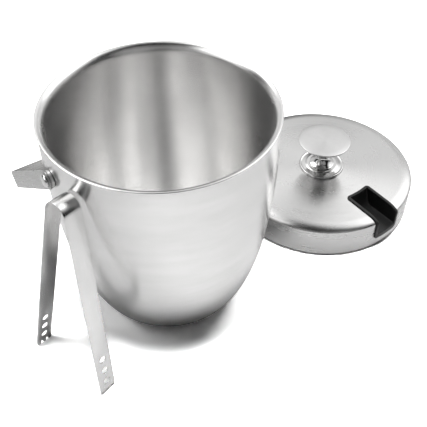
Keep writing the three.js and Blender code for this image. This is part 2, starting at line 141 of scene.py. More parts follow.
# ---- Materials -------------------------------------------------------------------------------
class Nodes:
    """A material's node tree, with short calls to add and join nodes."""

    def __init__(self, name):
        self.material = bpy.data.materials.new(name)
        self.material.use_nodes = True
        self.tree = self.material.node_tree
        self.shader = self.tree.nodes["Principled BSDF"]

    def add(self, kind, settings=None, **inputs):
        node = self.tree.nodes.new(kind)
        for key, value in (settings or {}).items():
            setattr(node, key, value)
        for key, value in inputs.items():
            self.feed(node.inputs[key.replace("_", " ")], value)
        return node

    def feed(self, socket, value):
        if isinstance(value, bpy.types.NodeSocket):
            self.tree.links.new(value, socket)
        else:
            socket.default_value = value

    def math(self, operation, a, b=0.0):
        node = self.tree.nodes.new("ShaderNodeMath")
        node.operation = operation
        self.feed(node.inputs[0], a)
        self.feed(node.inputs[1], b)
        return node.outputs[0]

    def spread(self, value, low, high, start=0.3, end=0.7):
        """A noise value between start and end, mapped to the range low to high."""
        node = self.add("ShaderNodeMapRange", Value=value)
        node.inputs["From Min"].default_value = start
        node.inputs["From Max"].default_value = end
        node.inputs["To Min"].default_value = low
        node.inputs["To Max"].default_value = high
        return node.outputs[0]

    def noise(self, vector, scale, detail=2.0, roughness=0.5):
        node = self.add("ShaderNodeTexNoise", Vector=vector, Scale=scale, Detail=detail)
        node.inputs["Roughness"].default_value = roughness
        return node.outputs[0]

    def grey(self, value, tint=(1.0, 1.0, 1.0)):
        node = self.tree.nodes.new("ShaderNodeCombineColor")
        for index, share in enumerate(tint):
            self.feed(node.inputs[index], self.math("MULTIPLY", value, share))
        return node.outputs[0]

    def bump(self, height, distance, strength=1.0, normal=None):
        node = self.add("ShaderNodeBump", Height=height, Distance=distance, Strength=strength)
        if normal is not None:
            self.feed(node.inputs["Normal"], normal)
        return node.outputs[0]

    def surface(self, colour, roughness, normal):
        self.feed(self.shader.inputs["Base Color"], colour)
        self.feed(self.shader.inputs["Roughness"], roughness)
        self.feed(self.shader.inputs["Normal"], normal)

    def metal(self, anisotropy=0.0):
        """Metal. With anisotropy, it is brushed along the UV map's u, and highlights spread across it."""
        self.shader.inputs["Metallic"].default_value = 1.0
        if anisotropy:
            self.shader.inputs["Anisotropic"].default_value = anisotropy
            self.shader.inputs["Anisotropic Rotation"].default_value = QUARTER_TURN
            tangent = self.add("ShaderNodeTangent", {"direction_type": "UV_MAP", "uv_map": MAP})
            self.feed(self.shader.inputs["Tangent"], tangent.outputs[0])


STEEL_TINT = (1.0, 0.996, 0.99)
QUARTER_TURN = 0.25
MAP = "lay"  # UV map: u round the piece or along the strap, v up the section or across the strap


def turned_steel(name, value, roughness, anisotropy, grain, wave=0.0, marks=0.0):
    """Steel brushed round its axis. Grain and wave are heights in metres, marks the darkness of scuffs."""
    nodes = Nodes(name)
    lay = nodes.add("ShaderNodeUVMap", {"uv_map": MAP}).outputs[0]
    parts = nodes.add("ShaderNodeSeparateXYZ", Vector=lay)
    angle = nodes.math("MULTIPLY", parts.outputs[0], 2 * math.pi)
    cosine, sine = nodes.math("COSINE", angle), nodes.math("SINE", angle)

    def noise_round(scale_round, scale_along, detail, fade):
        """Noise without a seam round the piece; scale_along counts its cells per metre of section."""
        place = nodes.add("ShaderNodeCombineXYZ", X=cosine, Y=sine)
        along = nodes.math("MULTIPLY", parts.outputs[1], scale_along / scale_round)
        nodes.feed(place.inputs[2], along)
        return nodes.noise(place.outputs[0], scale_round, detail, fade)

    lines = noise_round(6.0, 2200, 4.0, 0.6)
    bands = noise_round(1.6, 96, 3.0, 0.6)
    normal = nodes.bump(lines, grain)
    if wave:
        normal = nodes.bump(noise_round(7.0, 28, 2.0, 0.5), wave, 1.0, normal)
    shade = nodes.spread(bands, value * 0.965, value * 1.02)
    gloss = nodes.spread(bands, roughness * 1.12, roughness * 0.9)
    if marks:
        scuffs = scuffed(nodes)
        shade = nodes.math("MULTIPLY", shade, nodes.spread(scuffs, 1.0, 1.0 - marks, 0.0, 1.0))
        gloss = nodes.math("ADD", gloss, nodes.math("MULTIPLY", scuffs, 0.12))
    nodes.surface(nodes.grey(shade, STEEL_TINT), gloss, normal)
    nodes.metal(anisotropy)
    return nodes.material


def scuffed(nodes):
    """Fine scuffs in a few small patches, from 0 to 1."""
    place = nodes.add("ShaderNodeTexCoord").outputs["Object"]
    patches = nodes.spread(nodes.noise(place, 26.0, 1.0), 0.0, 1.0, 0.62, 0.72)
    scratches = nodes.spread(nodes.noise(place, 900.0, 2.0), 0.0, 1.0, 0.52, 0.64)
    return nodes.math("MULTIPLY", patches, scratches)


def strap_steel(name, value, roughness, anisotropy, grain):
    """Steel strip brushed along its length."""
    nodes = Nodes(name)
    lay = nodes.add("ShaderNodeUVMap", {"uv_map": MAP}).outputs[0]

    def noise_along(scale_along, scale_across, detail, fade):
        stretch = nodes.add("ShaderNodeMapping", Vector=lay)
        stretch.inputs["Scale"].default_value = (scale_along, scale_across, 1.0)
        return nodes.noise(stretch.outputs[0], 1.0, detail, fade)

    lines = noise_along(40.0, 2600.0, 4.0, 0.6)
    bands = noise_along(30.0, 120.0, 2.0, 0.5)
    shade = nodes.spread(bands, value * 0.96, value * 1.02)
    gloss = nodes.spread(lines, roughness * 1.15, roughness * 0.88)
    nodes.surface(nodes.grey(shade, STEEL_TINT), gloss, nodes.bump(lines, grain))
    nodes.metal(anisotropy)
    return nodes.material


def plain_steel(name, value, roughness, scale=260.0, grain=0.000008):
    """Unbrushed steel with a slight cloudiness, on coordinates of the whole object."""
    nodes = Nodes(name)
    place = nodes.add("ShaderNodeTexCoord").outputs["Object"]
    cloud = nodes.noise(place, scale, 3.0, 0.6)
    pits = nodes.noise(place, scale * 9, 2.0, 0.5)
    shade = nodes.spread(cloud, value * 0.95, value * 1.02)
    gloss = nodes.spread(cloud, roughness * 1.25, roughness * 0.8)
    nodes.surface(nodes.grey(shade, STEEL_TINT), gloss, nodes.bump(pits, grain))
    nodes.metal()
    return nodes.material


def moulded_plastic(name, value, roughness):
    """Black moulded plastic with a fine spark-eroded texture."""
    nodes = Nodes(name)
    place = nodes.add("ShaderNodeTexCoord").outputs["Object"]
    texture = nodes.noise(place, 2600.0, 2.0, 0.6)
    cloud = nodes.noise(place, 70.0, 2.0, 0.5)
    shade = nodes.spread(cloud, value * 0.8, value * 1.2)
    gloss = nodes.spread(cloud, roughness * 1.15, roughness * 0.85)
    nodes.surface(nodes.grey(shade), gloss, nodes.bump(texture, 0.00002, 0.6))
    nodes.shader.inputs["Specular IOR Level"].default_value = 0.32
    return nodes.material


SHELL_STEEL = turned_steel(
    "steel_brushed_outside", value=0.74, roughness=0.22, anisotropy=0.8, grain=0.0000010,
)
LINER_STEEL = turned_steel(
    "steel_brushed_inside", value=0.85, roughness=0.24, anisotropy=0.88, grain=0.0000012,
    wave=0.00003, marks=0.1,
)
LID_STEEL = turned_steel("steel_satin_lid", value=0.62, roughness=0.26, anisotropy=0.8, grain=0.0000012)
KNOB_STEEL = turned_steel("steel_satin_knob", value=0.64, roughness=0.34, anisotropy=0.4, grain=0.0000012)
MIRROR_STEEL = plain_steel("steel_polished", value=0.64, roughness=0.10, scale=120.0, grain=0.000001)
PLAIN_STEEL = plain_steel("steel_plain", value=0.66, roughness=0.38)
# The bail's steel colour holds painted shade: it is about half the value of the bucket's steel, so the
# bail looks as dim as its reflections.
BAIL_STEEL_PAINTED_DARK = strap_steel("steel_brushed_bail_painted_dark", value=0.36, roughness=0.28, anisotropy=0.5, grain=0.0000012)
TONGS_STEEL = strap_steel("steel_satin_tongs", value=0.70, roughness=0.24, anisotropy=0.4, grain=0.0000010)
BLACK_PLASTIC = moulded_plastic("plastic_black", value=0.007, roughness=0.42)


# ---- Mesh helpers ----------------------------------------------------------------------------
SHARP_ANGLE = math.radians(32)


def make_piece(name, points, faces, lay, material):
    """A mesh object from points in millimetres, faces, and one (u, v) for each face corner."""
    mesh = bpy.data.meshes.new(name)
    mesh.from_pydata([Vector(p) * MM for p in points], [], faces)
    uv = mesh.uv_layers.new(name=MAP)
    uv.data.foreach_set("uv", [value for pair in lay for value in pair])
    mesh.shade_smooth()
    mesh.set_sharp_from_angle(angle=SHARP_ANGLE)
    mesh.materials.append(material)
    mesh.validate()
    obj = bpy.data.objects.new(name, mesh)
    bpy.context.scene.collection.objects.link(obj)
    return obj


def shares(count, first=1):
    """Even steps up to 1, from first / count."""
    return [step / count for step in range(first, count + 1)]


def bent(start, control, end, t):
    """A point on a quadratic curve."""
    return start * (1 - t) ** 2 + control * (2 * t * (1 - t)) + end * t * t


def rounded(corners, steps=4):
    """A section's points, each corner given as (radius from axis, height, rounding)."""
    points = []
    for index, (x, y, radius) in enumerate(corners):
        here = Vector((x, y))
        if radius <= 0 or index in (0, len(corners) - 1):
            points.append(here)
            continue
        back = Vector(corners[index - 1][:2]) - here
        ahead = Vector(corners[index + 1][:2]) - here
        start = here + back.normalized() * min(radius, 0.42 * back.length)
        end = here + ahead.normalized() * min(radius, 0.42 * ahead.length)
        hold = min(0.5, 0.05 * back.length), min(0.5, 0.05 * ahead.length)
        points.append(start + back.normalized() * hold[0])
        points.extend(bent(start, here, end, t) for t in shares(steps, 0))
        points.append(end + ahead.normalized() * hold[1])
    return points


def lathe(name, section, material, place=None, steps=192, closed=False):
    """A closed solid of revolution. The section runs from axis to axis, or round on itself."""
    section = [Vector(point) for point in section]
    runs = [0.0]
    for before, after in zip(section, section[1:] + section[:1]):
        runs.append(runs[-1] + (after - before).length * MM)
    points, rings = [], []
    for radius, height in section:
        if radius < 1e-6:
            rings.append([len(points)] * steps)
            points.append((0, 0, height))
            continue
        rings.append(list(range(len(points), len(points) + steps)))
        for step in range(steps):
            angle = 2 * math.pi * step / steps
            points.append((radius * math.cos(angle), radius * math.sin(angle), height))
    faces, lay = [], []
    count = len(section)
    for index in range(count if closed else count - 1):
        low, high = rings[index], rings[(index + 1) % count]
        for step in range(steps):
            after = (step + 1) % steps
            corners = [
                (low[step], step, index),
                (low[after], step + 1, index),
                (high[after], step + 1, index + 1),
                (high[step], step, index + 1),
            ]
            kept = []
            for corner in corners:
                if corner[0] not in [other[0] for other in kept]:
                    kept.append(corner)
            if len(kept) < 3:
                continue
            faces.append([corner[0] for corner in kept])
            lay.extend((corner[1] / steps, runs[corner[2]]) for corner in kept)
    if place is not None:
        points = [place @ Vector(point) for point in points]
    return make_piece(name, points, faces, lay, material)


def bowl(foot, wall, floor, curve, offset, steps=44):
    """Corners along a quarter-ellipse wall from its foot to its straight side, pushed out by offset."""
    reach = wall - foot
    points = []
    for share in shares(steps, 0):
        angle = math.pi / 2 * (1 - share)
        normal = Vector((math.cos(angle) / reach, -math.sin(angle) / curve)).normalized()
        radius = foot + reach * math.cos(angle) + offset * normal.x
        points.append((radius, floor + curve * (1 - math.sin(angle)) + offset * normal.y, 0))
    return points


def stand_for(obj, body, *nodes):
    """The piece rides on a body in place of CAD nodes."""
    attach(obj, body)
    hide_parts(*nodes)
    return obj


# ---- Bucket ----------------------------------------------------------------------------------
BEAD_BOTTOM = RIM_HEIGHT - BEAD_HEIGHT
SHELL_TOP = BEAD_BOTTOM - GAP
BEVEL_INNER_HEIGHT = RIM_HEIGHT - BEVEL_DROP


def flange(steps=10):
    """The rim flange, rolled over convexly from the bead down to the wall."""
    start = Vector((RIM_RADIUS - 2.2, RIM_HEIGHT - 0.3))
    hold = Vector((91.2, 200.9))
    end = Vector((BEVEL_INNER, BEVEL_INNER_HEIGHT))
    return [(*bent(start, hold, end, t), 0) for t in shares(steps, 0)]


def liner_section():
    outside = bowl(LINER_FOOT, LINER_WALL, LINER_FLOOR, LINER_CURVE, SHEET)
    inside = bowl(LINER_FOOT, LINER_WALL, LINER_FLOOR, LINER_CURVE, 0)[::-1]
    return rounded([
        (0, LINER_FLOOR - SHEET, 0),
        *outside,
        (LINER_WALL + SHEET, BEVEL_INNER_HEIGHT - 4, 1.5),
        (BEVEL_INNER + 0.8, BEVEL_INNER_HEIGHT - 0.9, 1),
        (WALL_RADIUS - SHEET - 0.1, BEAD_BOTTOM, 0.3),
        (RIM_RADIUS, BEAD_BOTTOM, 0.7),
        (RIM_RADIUS, RIM_HEIGHT, 1.0),
        (RIM_RADIUS - 1.6, RIM_HEIGHT - 0.1, 0.6),
        *flange(),
        (LINER_WALL, BEVEL_INNER_HEIGHT - 3, 2.5),
        *inside,
        (0, LINER_FLOOR, 0),
    ])


def shell_section():
    outside = bowl(FOOT_RADIUS, WALL_RADIUS, 0, SHELL_CURVE, 0)
    inside = bowl(FOOT_RADIUS, WALL_RADIUS, 0, SHELL_CURVE, -SHEET)[::-1]
    return [Vector(point[:2]) for point in [
        (FOOT_OPENING, 0),
        *outside,
        (WALL_RADIUS, SHELL_TOP - 0.3),
        (WALL_RADIUS - 0.3, SHELL_TOP),
        (WALL_RADIUS - SHEET, SHELL_TOP),
        *inside,
        (FOOT_OPENING, SHEET),
    ]]


def cap_section():
    lap = SHEET + GAP
    edge = FOOT_OPENING - GAP
    return rounded([
        (0, 0, 0),
        (edge, 0, 0.5),
        (edge, lap, 0.2),
        (FOOT_OPENING + CAP_LAP, lap, 0.2),
        (FOOT_OPENING + CAP_LAP, lap + SHEET, 0.2),
        (edge - SHEET, lap + SHEET, 0.5),
        (edge - SHEET, SHEET, 0.5),
        (0, SHEET, 0),
    ])


liner = lathe("bucket_liner", liner_section(), LINER_STEEL, steps=256)
stand_for(liner, "bucket", "liner")
shell = lathe("bucket_wall", shell_section(), SHELL_STEEL, steps=256, closed=True)
stand_for(shell, "bucket", "outer_shell")
cap = lathe("bucket_foot", cap_section(), PLAIN_STEEL, steps=128)
stand_for(cap, "bucket", "base_cap")

# ---- Pivots ----------------------------------------------------------------------------------
ARM_OUTER = ARM_INNER + STRAP_THICKNESS
RIVET_TAIL = 89.7
RIVET_TAIL_RADIUS = 3.6
HEAD_RADIUS = 5.4
HEAD_HEIGHT = 2.5


def rivet_section():
    tail_end = RIVET_TAIL + SHEET
    base = ARM_OUTER + GAP
    return rounded([
        (0, RIVET_TAIL, 0),
        (RIVET_TAIL_RADIUS, RIVET_TAIL, 0.4),
        (RIVET_TAIL_RADIUS, tail_end, 0.2),
        (SHANK_RADIUS, tail_end, 0),
        (SHANK_RADIUS, base, 0),
        (HEAD_RADIUS, base, 0.15),
        (HEAD_RADIUS, base + 0.7, 0.5),
        (HEAD_RADIUS * 0.82, base + HEAD_HEIGHT * 0.8, 1.3),
        (HEAD_RADIUS * 0.4, base + HEAD_HEIGHT, 1.4),
        (0, base + HEAD_HEIGHT, 0),
    ], 6)


for side, turn in (("right", 0.0), ("left", math.pi)):
    outwards = (
        Matrix.Translation((0, 0, PIVOT_HEIGHT))
        @ Matrix.Rotation(PIVOT_AZIMUTH + turn, 4, "Z")
        @ Matrix.Rotation(math.pi / 2, 4, "Y")
    )
    rivet = lathe(f"rivet_{side}", rivet_section(), MIRROR_STEEL, outwards, 64)
    stand_for(rivet, "bucket", f"pivot_rivet_{side}")


# ---- Lid -------------------------------------------------------------------------------------
def lid_outside(offset, steps=20):
    """The lid's outside from its bottom edge to the crown, pushed out by offset."""
    shoulder = LID_RADIUS - SHOULDER_WIDTH
    points = [
        (LID_FOOT_RADIUS + offset, 0, 0),
        (LID_FOOT_RADIUS + 0.9 + offset, SKIRT_ROUND * 0.22, 0),
        (LID_RADIUS - 0.5 + offset, SKIRT_ROUND * 0.5, 0),
        (LID_RADIUS - 0.12 + offset, SKIRT_ROUND * 0.78, 0),
        (LID_RADIUS + offset, SKIRT_ROUND + 0.4, 0),
        (LID_RADIUS + offset, SKIRT_HEIGHT - 1, 0),
    ]
    for share in shares(steps, 0):
        angle = math.pi / 2 * share
        radius = shoulder + (SHOULDER_WIDTH + offset) * math.cos(angle)
        points.append((radius, SKIRT_HEIGHT + (SHOULDER_HEIGHT + offset) * math.sin(angle), 0))
    points.append((KNOB_BASE_RADIUS, CROWN_HEIGHT + offset, 6))
    return points


def lid_section():
    return rounded([
        *lid_outside(0),
        (SCREW_BORE, CROWN_HEIGHT, 0),
        (SCREW_BORE, CROWN_HEIGHT - SHEET, 0),
        *lid_outside(-SHEET)[::-1],
    ])


def underpan_section():
    edge = LID_FOOT_RADIUS - SHEET - GAP
    return rounded([
        (0, 3, 0),
        (edge - 12, 3, 1.5),
        (edge - 9, 0.6, 1.5),
        (edge, 0.6, 0.6),
        (edge, 2.2, 0.3),
        (edge - 8, 2, 1.5),
        (edge - 11.6, 4.2, 1.5),
        (0, 4.2, 0),
    ])


def escutcheon_section():
    base = CROWN_HEIGHT + GAP
    return rounded([
        (SCREW_BORE, base, 0),
        (KNOB_BASE_RADIUS - 0.1, base, 0.2),
        (KNOB_BASE_RADIUS, base + 1.0, 0.5),
        (KNOB_BASE_RADIUS - 0.9, base + 2.1, 0.8),
        (KNOB_BASE_RADIUS - 2.6, base + 1.5, 0.8),
        (16.5, base + 2.2, 0.6),
        (15.6, base + PLATE_HEIGHT, 0.5),
        (SCREW_BORE, base + PLATE_HEIGHT, 0),
    ], 5)


STEM_BOTTOM = CROWN_HEIGHT + PLATE_HEIGHT + 2 * GAP
CAP_THICKNESS = 3.2
STEM_TOP = KNOB_TOP - CAP_THICKNESS - GAP
STUD_RADIUS = 3
STUD_LENGTH = 6


def smooth_curve(knots, steps):
    """A Catmull-Rom curve through (x, y) knots."""
    knots = [Vector(knot) for knot in knots]
    ends = [2 * knots[0] - knots[1], *knots, 2 * knots[-1] - knots[-2]]
    points = []
    for index in range(1, len(ends) - 2):
        a, b, c, d = ends[index - 1:index + 3]
        for step in range(steps):
            t = step / steps
            points.append(0.5 * (2 * b + (c - a) * t + (2 * a - 5 * b + 4 * c - d) * t * t
                                 + (3 * b - a - 3 * c + d) * t ** 3))
    return [*points, knots[-1]]


def stem_section():
    height = STEM_TOP - STEM_BOTTOM
    flare = smooth_curve([
        (12.0, 0.04), (8.6, 0.14), (6.2, 0.27), (5.2, 0.42),
        (5.7, 0.58), (7.2, 0.74), (10, 0.88), (14.6, 0.99),
    ], 6)
    socket = STEM_TOP - STUD_LENGTH - GAP
    hole = SCREW_RADIUS + GAP
    outline = [(0, STEM_BOTTOM + SCREW_DEPTH), (hole, STEM_BOTTOM + SCREW_DEPTH), (hole, STEM_BOTTOM)]
    outline += [(12.1, STEM_BOTTOM), (12.5, STEM_BOTTOM + 0.3), (12.5, STEM_BOTTOM + 0.8)]
    outline += [(radius, STEM_BOTTOM + height * part) for radius, part in flare]
    outline += [(15, STEM_TOP), (STUD_RADIUS + GAP, STEM_TOP), (STUD_RADIUS + GAP, socket), (0, socket)]
    return outline


def knob_cap_section():
    base = STEM_TOP + GAP
    return rounded([
        (0, STEM_TOP - STUD_LENGTH, 0),
        (STUD_RADIUS, STEM_TOP - STUD_LENGTH, 0.4),
        (STUD_RADIUS, base, 0),
        (KNOB_RADIUS - 4, base, 1.5),
        (KNOB_RADIUS - 0.5, base + 1.1, 0.6),
        (KNOB_RADIUS, base + 1.9, 0.5),
        (KNOB_RADIUS - 0.5, base + 2.75, 0.5),
        (KNOB_RADIUS - 5, KNOB_TOP - 0.12, 3),
        (0, KNOB_TOP, 0),
    ], 5)


LID_PLACE = Matrix.Translation((*LID_CENTRE, 0))
SLOT_TURN = Matrix.Rotation(SLOT_AZIMUTH, 4, "Z")
lid = lathe("lid_cover", lid_section(), LID_STEEL, LID_PLACE, 256, True)
underpan = lathe("lid_pan", underpan_section(), PLAIN_STEEL, LID_PLACE, 128)
stand_for(underpan, "lid", "lid_underpan")
plate = lathe("knob_plate", escutcheon_section(), MIRROR_STEEL, LID_PLACE, 128, True)
stand_for(plate, "lid", "knob_escutcheon")
stem = lathe("knob_neck", stem_section(), MIRROR_STEEL, LID_PLACE, 128)
stand_for(stem, "lid", "knob_stem")
knob = lathe("knob_top", knob_cap_section(), KNOB_STEEL, LID_PLACE, 128)
stand_for(knob, "lid", "knob_cap")


def box_mesh(low, high, name):
    """A box used only as a cutter, from two of its corners in millimetres, in the slot's frame."""
    corners = [(x, y, z) for x in (low[0], high[0]) for y in (low[1], high[1]) for z in (low[2], high[2])]
    faces = [(0, 1, 3, 2), (4, 6, 7, 5), (0, 4, 5, 1), (2, 3, 7, 6), (0, 2, 6, 4), (1, 5, 7, 3)]
    mesh = bpy.data.meshes.new(name)
    mesh.from_pydata([LID_PLACE @ SLOT_TURN @ Vector(corner) * MM for corner in corners], [], faces)
    obj = bpy.data.objects.new(name, mesh)
    bpy.context.scene.collection.objects.link(obj)
    return obj


def cut_away(obj, cutter):
    """Cuts one object's shape out of another's mesh for good, and removes the cutter."""
    change = obj.modifiers.new("cut", "BOOLEAN")
    change.operation = "DIFFERENCE"
    change.solver = "EXACT"
    change.object = cutter
    evaluated = obj.evaluated_get(bpy.context.evaluated_depsgraph_get())
    mesh = bpy.data.meshes.new_from_object(evaluated)
    obj.modifiers.clear()
    obj.data = mesh
    bpy.data.objects.remove(cutter)
    mesh.set_sharp_from_angle(angle=SHARP_ANGLE)


SLOT_OUTER = SLOT_HALF_WIDTH + SLOT_WALL
opening = box_mesh(
    (SLOT_BACK - SLOT_WALL - GAP, -SLOT_OUTER - GAP, SLOT_FLOOR - SLOT_WALL - GAP),
    (LID_RADIUS + 20, SLOT_OUTER + GAP, CROWN_HEIGHT + 10),
    "opening",
)
cut_away(lid, opening)
stand_for(lid, "lid", "lid_shell")


# ---- The black pocket in the lid ---------------------------------------------------------------
# Its lip is a ring on the lid's outside. A place on the lid is a distance y across the slot and a
# distance along the lid's profile, counted from the lip's lower edge.
LIP_FOLD = 0.9  # rounding of the lip's edges
CHIN_ROUND = 3.5  # outer corners of the lip
POCKET_ROUND = 1.2  # inner corners at the front, and the fillet round the floor
BACK_ROUND = 1.0  # the pocket's inner corners at its back
BACK_BOW = 0.8  # how much nearer the lid's edge the back of the lip is in its middle
BACK_FILLET = (1.3, 0.87)  # where the back's fillet starts, outwards and up from the floor's edge
BACK_BEND = (4.5, 3)  # control point of the back's curve, outwards and up from the floor's edge
FLOOR_ROUND = 2.0  # the floor's corners at its back
LIP_OUTER = SLOT_HALF_WIDTH + SLOT_LIP
FRONT_DEPTH = 2.0  # from the lid's outside in to the floor's front edge
PROFILE = [Vector(point[:2]) for point in lid_outside(0, 40)[4:]]
PROFILE[0].y = LIP_BOTTOM


def profile_runs():
    runs = [0.0]
    for before, after in zip(PROFILE, PROFILE[1:]):
        runs.append(runs[-1] + (after - before).length)
    return runs


PROFILE_RUNS = profile_runs()


def run_at_radius(radius):
    for index in range(len(PROFILE) - 2, 0, -1):
        outer, inner = PROFILE[index], PROFILE[index + 1]
        if inner.x <= radius <= outer.x:
            share = (outer.x - radius) / (outer.x - inner.x)
            return PROFILE_RUNS[index] + share * (PROFILE_RUNS[index + 1] - PROFILE_RUNS[index])
    return PROFILE_RUNS[-1]


def profile_normal(index):
    before = PROFILE[max(index - 1, 0)]
    after = PROFILE[min(index + 1, len(PROFILE) - 1)]
    run = (after - before).normalized()
    return Vector((run.y, -run.x))


def on_lid(y, along, proud):
    """A point in the slot's frame: y across the slot, along the profile, proud of the lid."""
    index = 0
    while index < len(PROFILE) - 2 and PROFILE_RUNS[index + 1] < along:
        index += 1
    share = (along - PROFILE_RUNS[index]) / (PROFILE_RUNS[index + 1] - PROFILE_RUNS[index])
    point = PROFILE[index].lerp(PROFILE[index + 1], share)
    normal = profile_normal(index).lerp(profile_normal(index + 1), share).normalized()
    x = math.sqrt(point.x ** 2 - y ** 2)
    turned = Vector((normal.x * x / point.x, normal.x * y / point.x, normal.y))
    return Vector((x, y, point.y)) + turned * proud


def lip_stations():
    """Half of the lip's ring: its inner and outer edge as (y, along), and what lies below it."""
    stations = []

    def add(inner, outer, kind, share):
        stations.append((Vector(inner), Vector(outer), kind, share))

    floor_run = SLOT_FLOOR - LIP_BOTTOM
    for share in shares(12, 0)[:-1]:
        inner = share * (SLOT_HALF_WIDTH - POCKET_ROUND), floor_run
        add(inner, (share * (LIP_OUTER - CHIN_ROUND), 0), "front", 0.0)
    for share in shares(6, 0):
        turn = math.pi / 2 * share
        sine, rise = math.sin(turn), 1 - math.cos(turn)
        inner = SLOT_HALF_WIDTH - POCKET_ROUND * (1 - sine), floor_run + POCKET_ROUND * rise
        add(inner, (LIP_OUTER - CHIN_ROUND * (1 - sine), CHIN_ROUND * rise), "corner", share)
    start = floor_run + POCKET_ROUND
    end = run_at_radius(math.hypot(SLOT_BACK + BACK_ROUND, SLOT_HALF_WIDTH))
    outer_end = run_at_radius(math.hypot(SLOT_BACK - SLOT_LIP + CHIN_ROUND, LIP_OUTER))
    for share in shares(60):
        along = start + (end - start) * share
        beside = along - (start - CHIN_ROUND) * (1 - share) ** 4 + (outer_end - end) * share
        add((SLOT_HALF_WIDTH, along), (LIP_OUTER, beside), "side", share)
    for share in shares(8):
        turn = math.pi / 2 * share
        pair = []
        for width, back, size in (
            (SLOT_HALF_WIDTH, SLOT_BACK, BACK_ROUND),
            (LIP_OUTER, SLOT_BACK - SLOT_LIP, CHIN_ROUND),
        ):
            y = width - size * (1 - math.cos(turn))
            x = back + size * (1 - math.sin(turn))
            pair.append((y, run_at_radius(math.hypot(x, y))))
        add(*pair, "turn", share)
    for share in shares(12):
        pair = []
        for width, back in (
            (SLOT_HALF_WIDTH - BACK_ROUND, SLOT_BACK),
            (LIP_OUTER - CHIN_ROUND, SLOT_BACK - SLOT_LIP),
        ):
            y = width * (1 - share)
            x = back + BACK_BOW * (1 - (1 - share) ** 2)
            pair.append((y, run_at_radius(math.hypot(x, y))))
        add(*pair, "back", share)
    return stations


def lip_rows(inner, outer):
    """Points over the lip, from its inner edge to its outer edge."""
    width = (outer - inner).length
    rows = []
    for fold in shares(5, 0):
        turn = math.pi / 2 * fold
        rows.append((LIP_FOLD * (1 - math.cos(turn)) / width, LIP_PROUD - LIP_FOLD * (1 - math.sin(turn))))
    middle = [(0.35, LIP_PROUD), (0.5, LIP_PROUD), (0.65, LIP_PROUD)]
    rows = rows + middle + [(1 - share, proud) for share, proud in rows[::-1]] + [(1.0, GAP)]
    return [on_lid(*inner.lerp(outer, share), proud) for share, proud in rows]


def pocket_foot(inner, kind, share):
    """Below the lip's inner edge: the wall's bend with its weight, and the fillet's three points."""
    y, along = inner
    up = Vector((0, 0, 1))
    if kind in ("front", "corner"):
        x = on_lid(y, along, 0).x - FRONT_DEPTH
        height = LIP_BOTTOM + along
        turn = math.pi / 2 * share
        edge = SLOT_HALF_WIDTH - POCKET_ROUND
        corner = edge + POCKET_ROUND * math.tan(turn / 2) if kind == "corner" else y
        end = edge if kind == "corner" else y
        return None, Vector((x, y, height)), Vector((x, corner, SLOT_FLOOR)), Vector((x, end, SLOT_FLOOR))
    front = math.sqrt(LID_RADIUS ** 2 - SLOT_HALF_WIDTH ** 2) - FRONT_DEPTH
    if kind == "side":
        back = SLOT_BACK_LOW + FLOOR_ROUND
        corner = Vector((front + (back - front) * share, SLOT_HALF_WIDTH, SLOT_FLOOR))
        end = corner - Vector((0, POCKET_ROUND, 0))
        return None, corner + up * POCKET_ROUND, corner, end
    turn = math.pi / 2 * (share if kind == "turn" else 1.0)
    out = Vector((-math.sin(turn), math.cos(turn), 0))
    middle = Vector((SLOT_BACK_LOW + FLOOR_ROUND, SLOT_HALF_WIDTH - FLOOR_ROUND, SLOT_FLOOR))
    corner = middle + out * FLOOR_ROUND
    if kind == "back":
        corner.y = (SLOT_HALF_WIDTH - FLOOR_ROUND) * (1 - share)
    weight = math.sin(turn)
    rise = POCKET_ROUND + (BACK_FILLET[1] - POCKET_ROUND) * weight
    start = corner + out * (BACK_FILLET[0] * weight) + up * rise
    control = corner + out * BACK_BEND[0] + up * BACK_BEND[1]
    return (control, weight), start, corner, corner - out * (POCKET_ROUND + 0.1 * weight)


def pocket_column(inner, outer, kind, share):
    """One strip of the pocket's surface, from its floor over the lip to its underside."""
    lip = lip_rows(inner, outer)
    bend, start, corner, end = pocket_foot(inner, kind, share)
    control = lip[0].lerp(start, 0.5)
    if bend is not None:
        control = control.lerp(bend[0], bend[1])
    column = [bent(end, corner, start, t) for t in shares(6, 0)[:-1]]
    column += [bent(start, control, lip[0], t) for t in shares(10, 0)[:-1]]
    column += lip
    under_floor = SLOT_FLOOR - SLOT_WALL
    chin_share = SLOT_WALL / (SLOT_FLOOR - LIP_BOTTOM)
    side_share = SLOT_WALL / SLOT_LIP
    tuck = side_share
    if kind == "front":
        tuck = chin_share
    elif kind == "corner":
        tuck = chin_share + (side_share - chin_share) * share
    column.append(on_lid(*inner.lerp(outer, tuck), GAP))
    foot = column[-1].copy()
    if kind in ("front", "corner"):
        foot.x -= 0.5
    elif kind == "side":
        foot.x = start.x + (SLOT_BACK - start.x) * share ** 2
    column.append(column[-1].lerp(Vector((foot.x, foot.y, under_floor)), 0.5))
    column.append(Vector((foot.x, foot.y, under_floor)))
    return column


